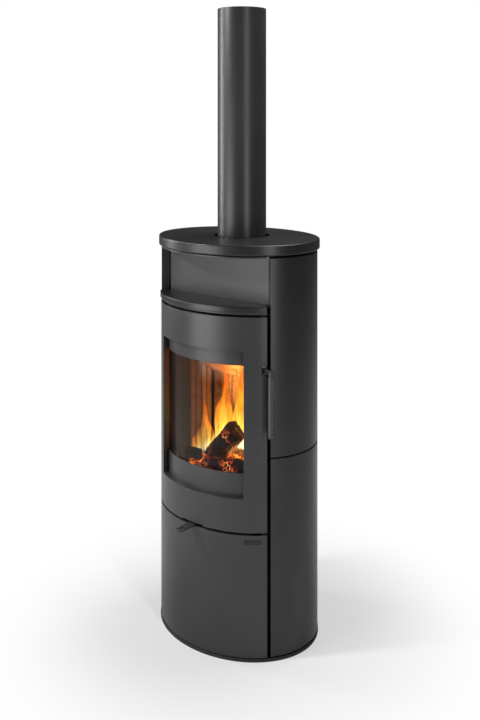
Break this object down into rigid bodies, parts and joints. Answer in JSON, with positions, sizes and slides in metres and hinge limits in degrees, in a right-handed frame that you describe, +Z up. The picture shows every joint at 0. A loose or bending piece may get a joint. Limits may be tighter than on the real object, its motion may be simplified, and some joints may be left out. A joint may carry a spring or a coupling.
{
  "type": "wood stove",
  "caption": "Oval free-standing wood stove: curved glazed door, air lever, lower cover door, warming niche, thick ceramic top and side panels, flue pipe.",
  "frame": {"origin": "centre of the base on the floor", "axes": "+Z up, the door faces -Y, +X on the side of the door handle"},
  "size_m": [0.528, 0.489, 1.87],
  "materials": {
    "painted_steel": "satin heat-proof paint",
    "pipe_enamel": "satin heat-proof paint",
    "glazed_ceramic": "satin glaze",
    "handle_steel": "satin",
    "glass_ceramic": "clear",
    "refractory": "dry, ribbed",
    "black_steel": "matt",
    "cast_iron": "rough",
    "zinc_steel": "zinc plated",
    "seal_fibre": "woven",
    "burning_wood": "charred",
    "embers": "glowing"
  },
  "bodies": {
    "root": {"air_box": "black_steel", "air_duct": "black_steel", "air_spigot": "black_steel", "ash_box": "black_steel", "ash_pan": "black_steel", "baffle": "refractory", "base_plate": "painted_steel", "casing": "black_steel", "cover_screws": "zinc_steel", "door_striker": "zinc_steel", "ember_bed": "embers", "firebox_floor": "black_steel", "firebox_roof": "black_steel", "firebox_shell": "black_steel", "floor_bricks": "refractory", "flue_collar": "cast_iron", "flue_pipe": "pipe_enamel", "front_frame": "black_steel", "grate": "cast_iron", "hinge_pins": "zinc_steel", "hinge_plates": "zinc_steel", "levelling_screws": "zinc_steel", "lever_pivot": "zinc_steel", "lining_back": "refractory", "lining_left": "refractory", "lining_right": "refractory", "log_charred": "burning_wood", "log_propped": "burning_wood", "log_short": "burning_wood", "magnet_catch": "zinc_steel", "niche_back_panel": "painted_steel", "panel_brackets": "black_steel", "rear_cover": "painted_steel", "shelf_plate": "painted_steel", "shelf_slab": "glazed_ceramic", "side_liners": "black_steel", "side_panel_lower_left": "glazed_ceramic", "side_panel_lower_right": "glazed_ceramic", "side_panel_upper_left": "glazed_ceramic", "side_panel_upper_right": "glazed_ceramic", "slab_pads": "seal_fibre", "top_plate": "painted_steel", "top_slab": "glazed_ceramic"},
    "main_door": {"door_shell": "painted_steel", "door_inner_frame": "painted_steel", "door_glass": "glass_ceramic", "glass_seal": "seal_fibre", "glass_clips": "zinc_steel", "clip_screws": "zinc_steel", "door_seal": "seal_fibre", "latch_bracket": "zinc_steel", "latch_pin": "zinc_steel"},
    "door_handle": {"latch_arm": "painted_steel", "handle_core": "handle_steel", "handle_grip": "handle_steel", "handle_screw": "handle_steel"},
    "lower_door": {"lower_door": "painted_steel", "lower_door_keeper": "zinc_steel"},
    "air_lever": {"air_lever": "painted_steel", "damper_plate": "black_steel"}
  },
  "joints": [
    {"name": "main_door_hinge", "type": "hinge", "parent": "root", "child": "main_door", "pos_m": [-0.19, -0.122, 0], "axis": [0, 0, -1], "range_deg": [0, 110]},
    {"name": "door_handle_turn", "type": "hinge", "parent": "main_door", "child": "door_handle", "pos_m": [0.196, -0.119, 0.82], "axis": [0, 0, -1], "range_deg": [0, 25]},
    {"name": "lower_door_hinge", "type": "hinge", "parent": "root", "child": "lower_door", "pos_m": [-0.19, -0.122, 0], "axis": [0, 0, -1], "range_deg": [0, 105]},
    {"name": "air_lever_swing", "type": "hinge", "parent": "root", "child": "air_lever", "pos_m": [0, -0.06, 0.36], "axis": [0, 0, 1], "range_deg": [-9.5, 9.5]}
  ]
}
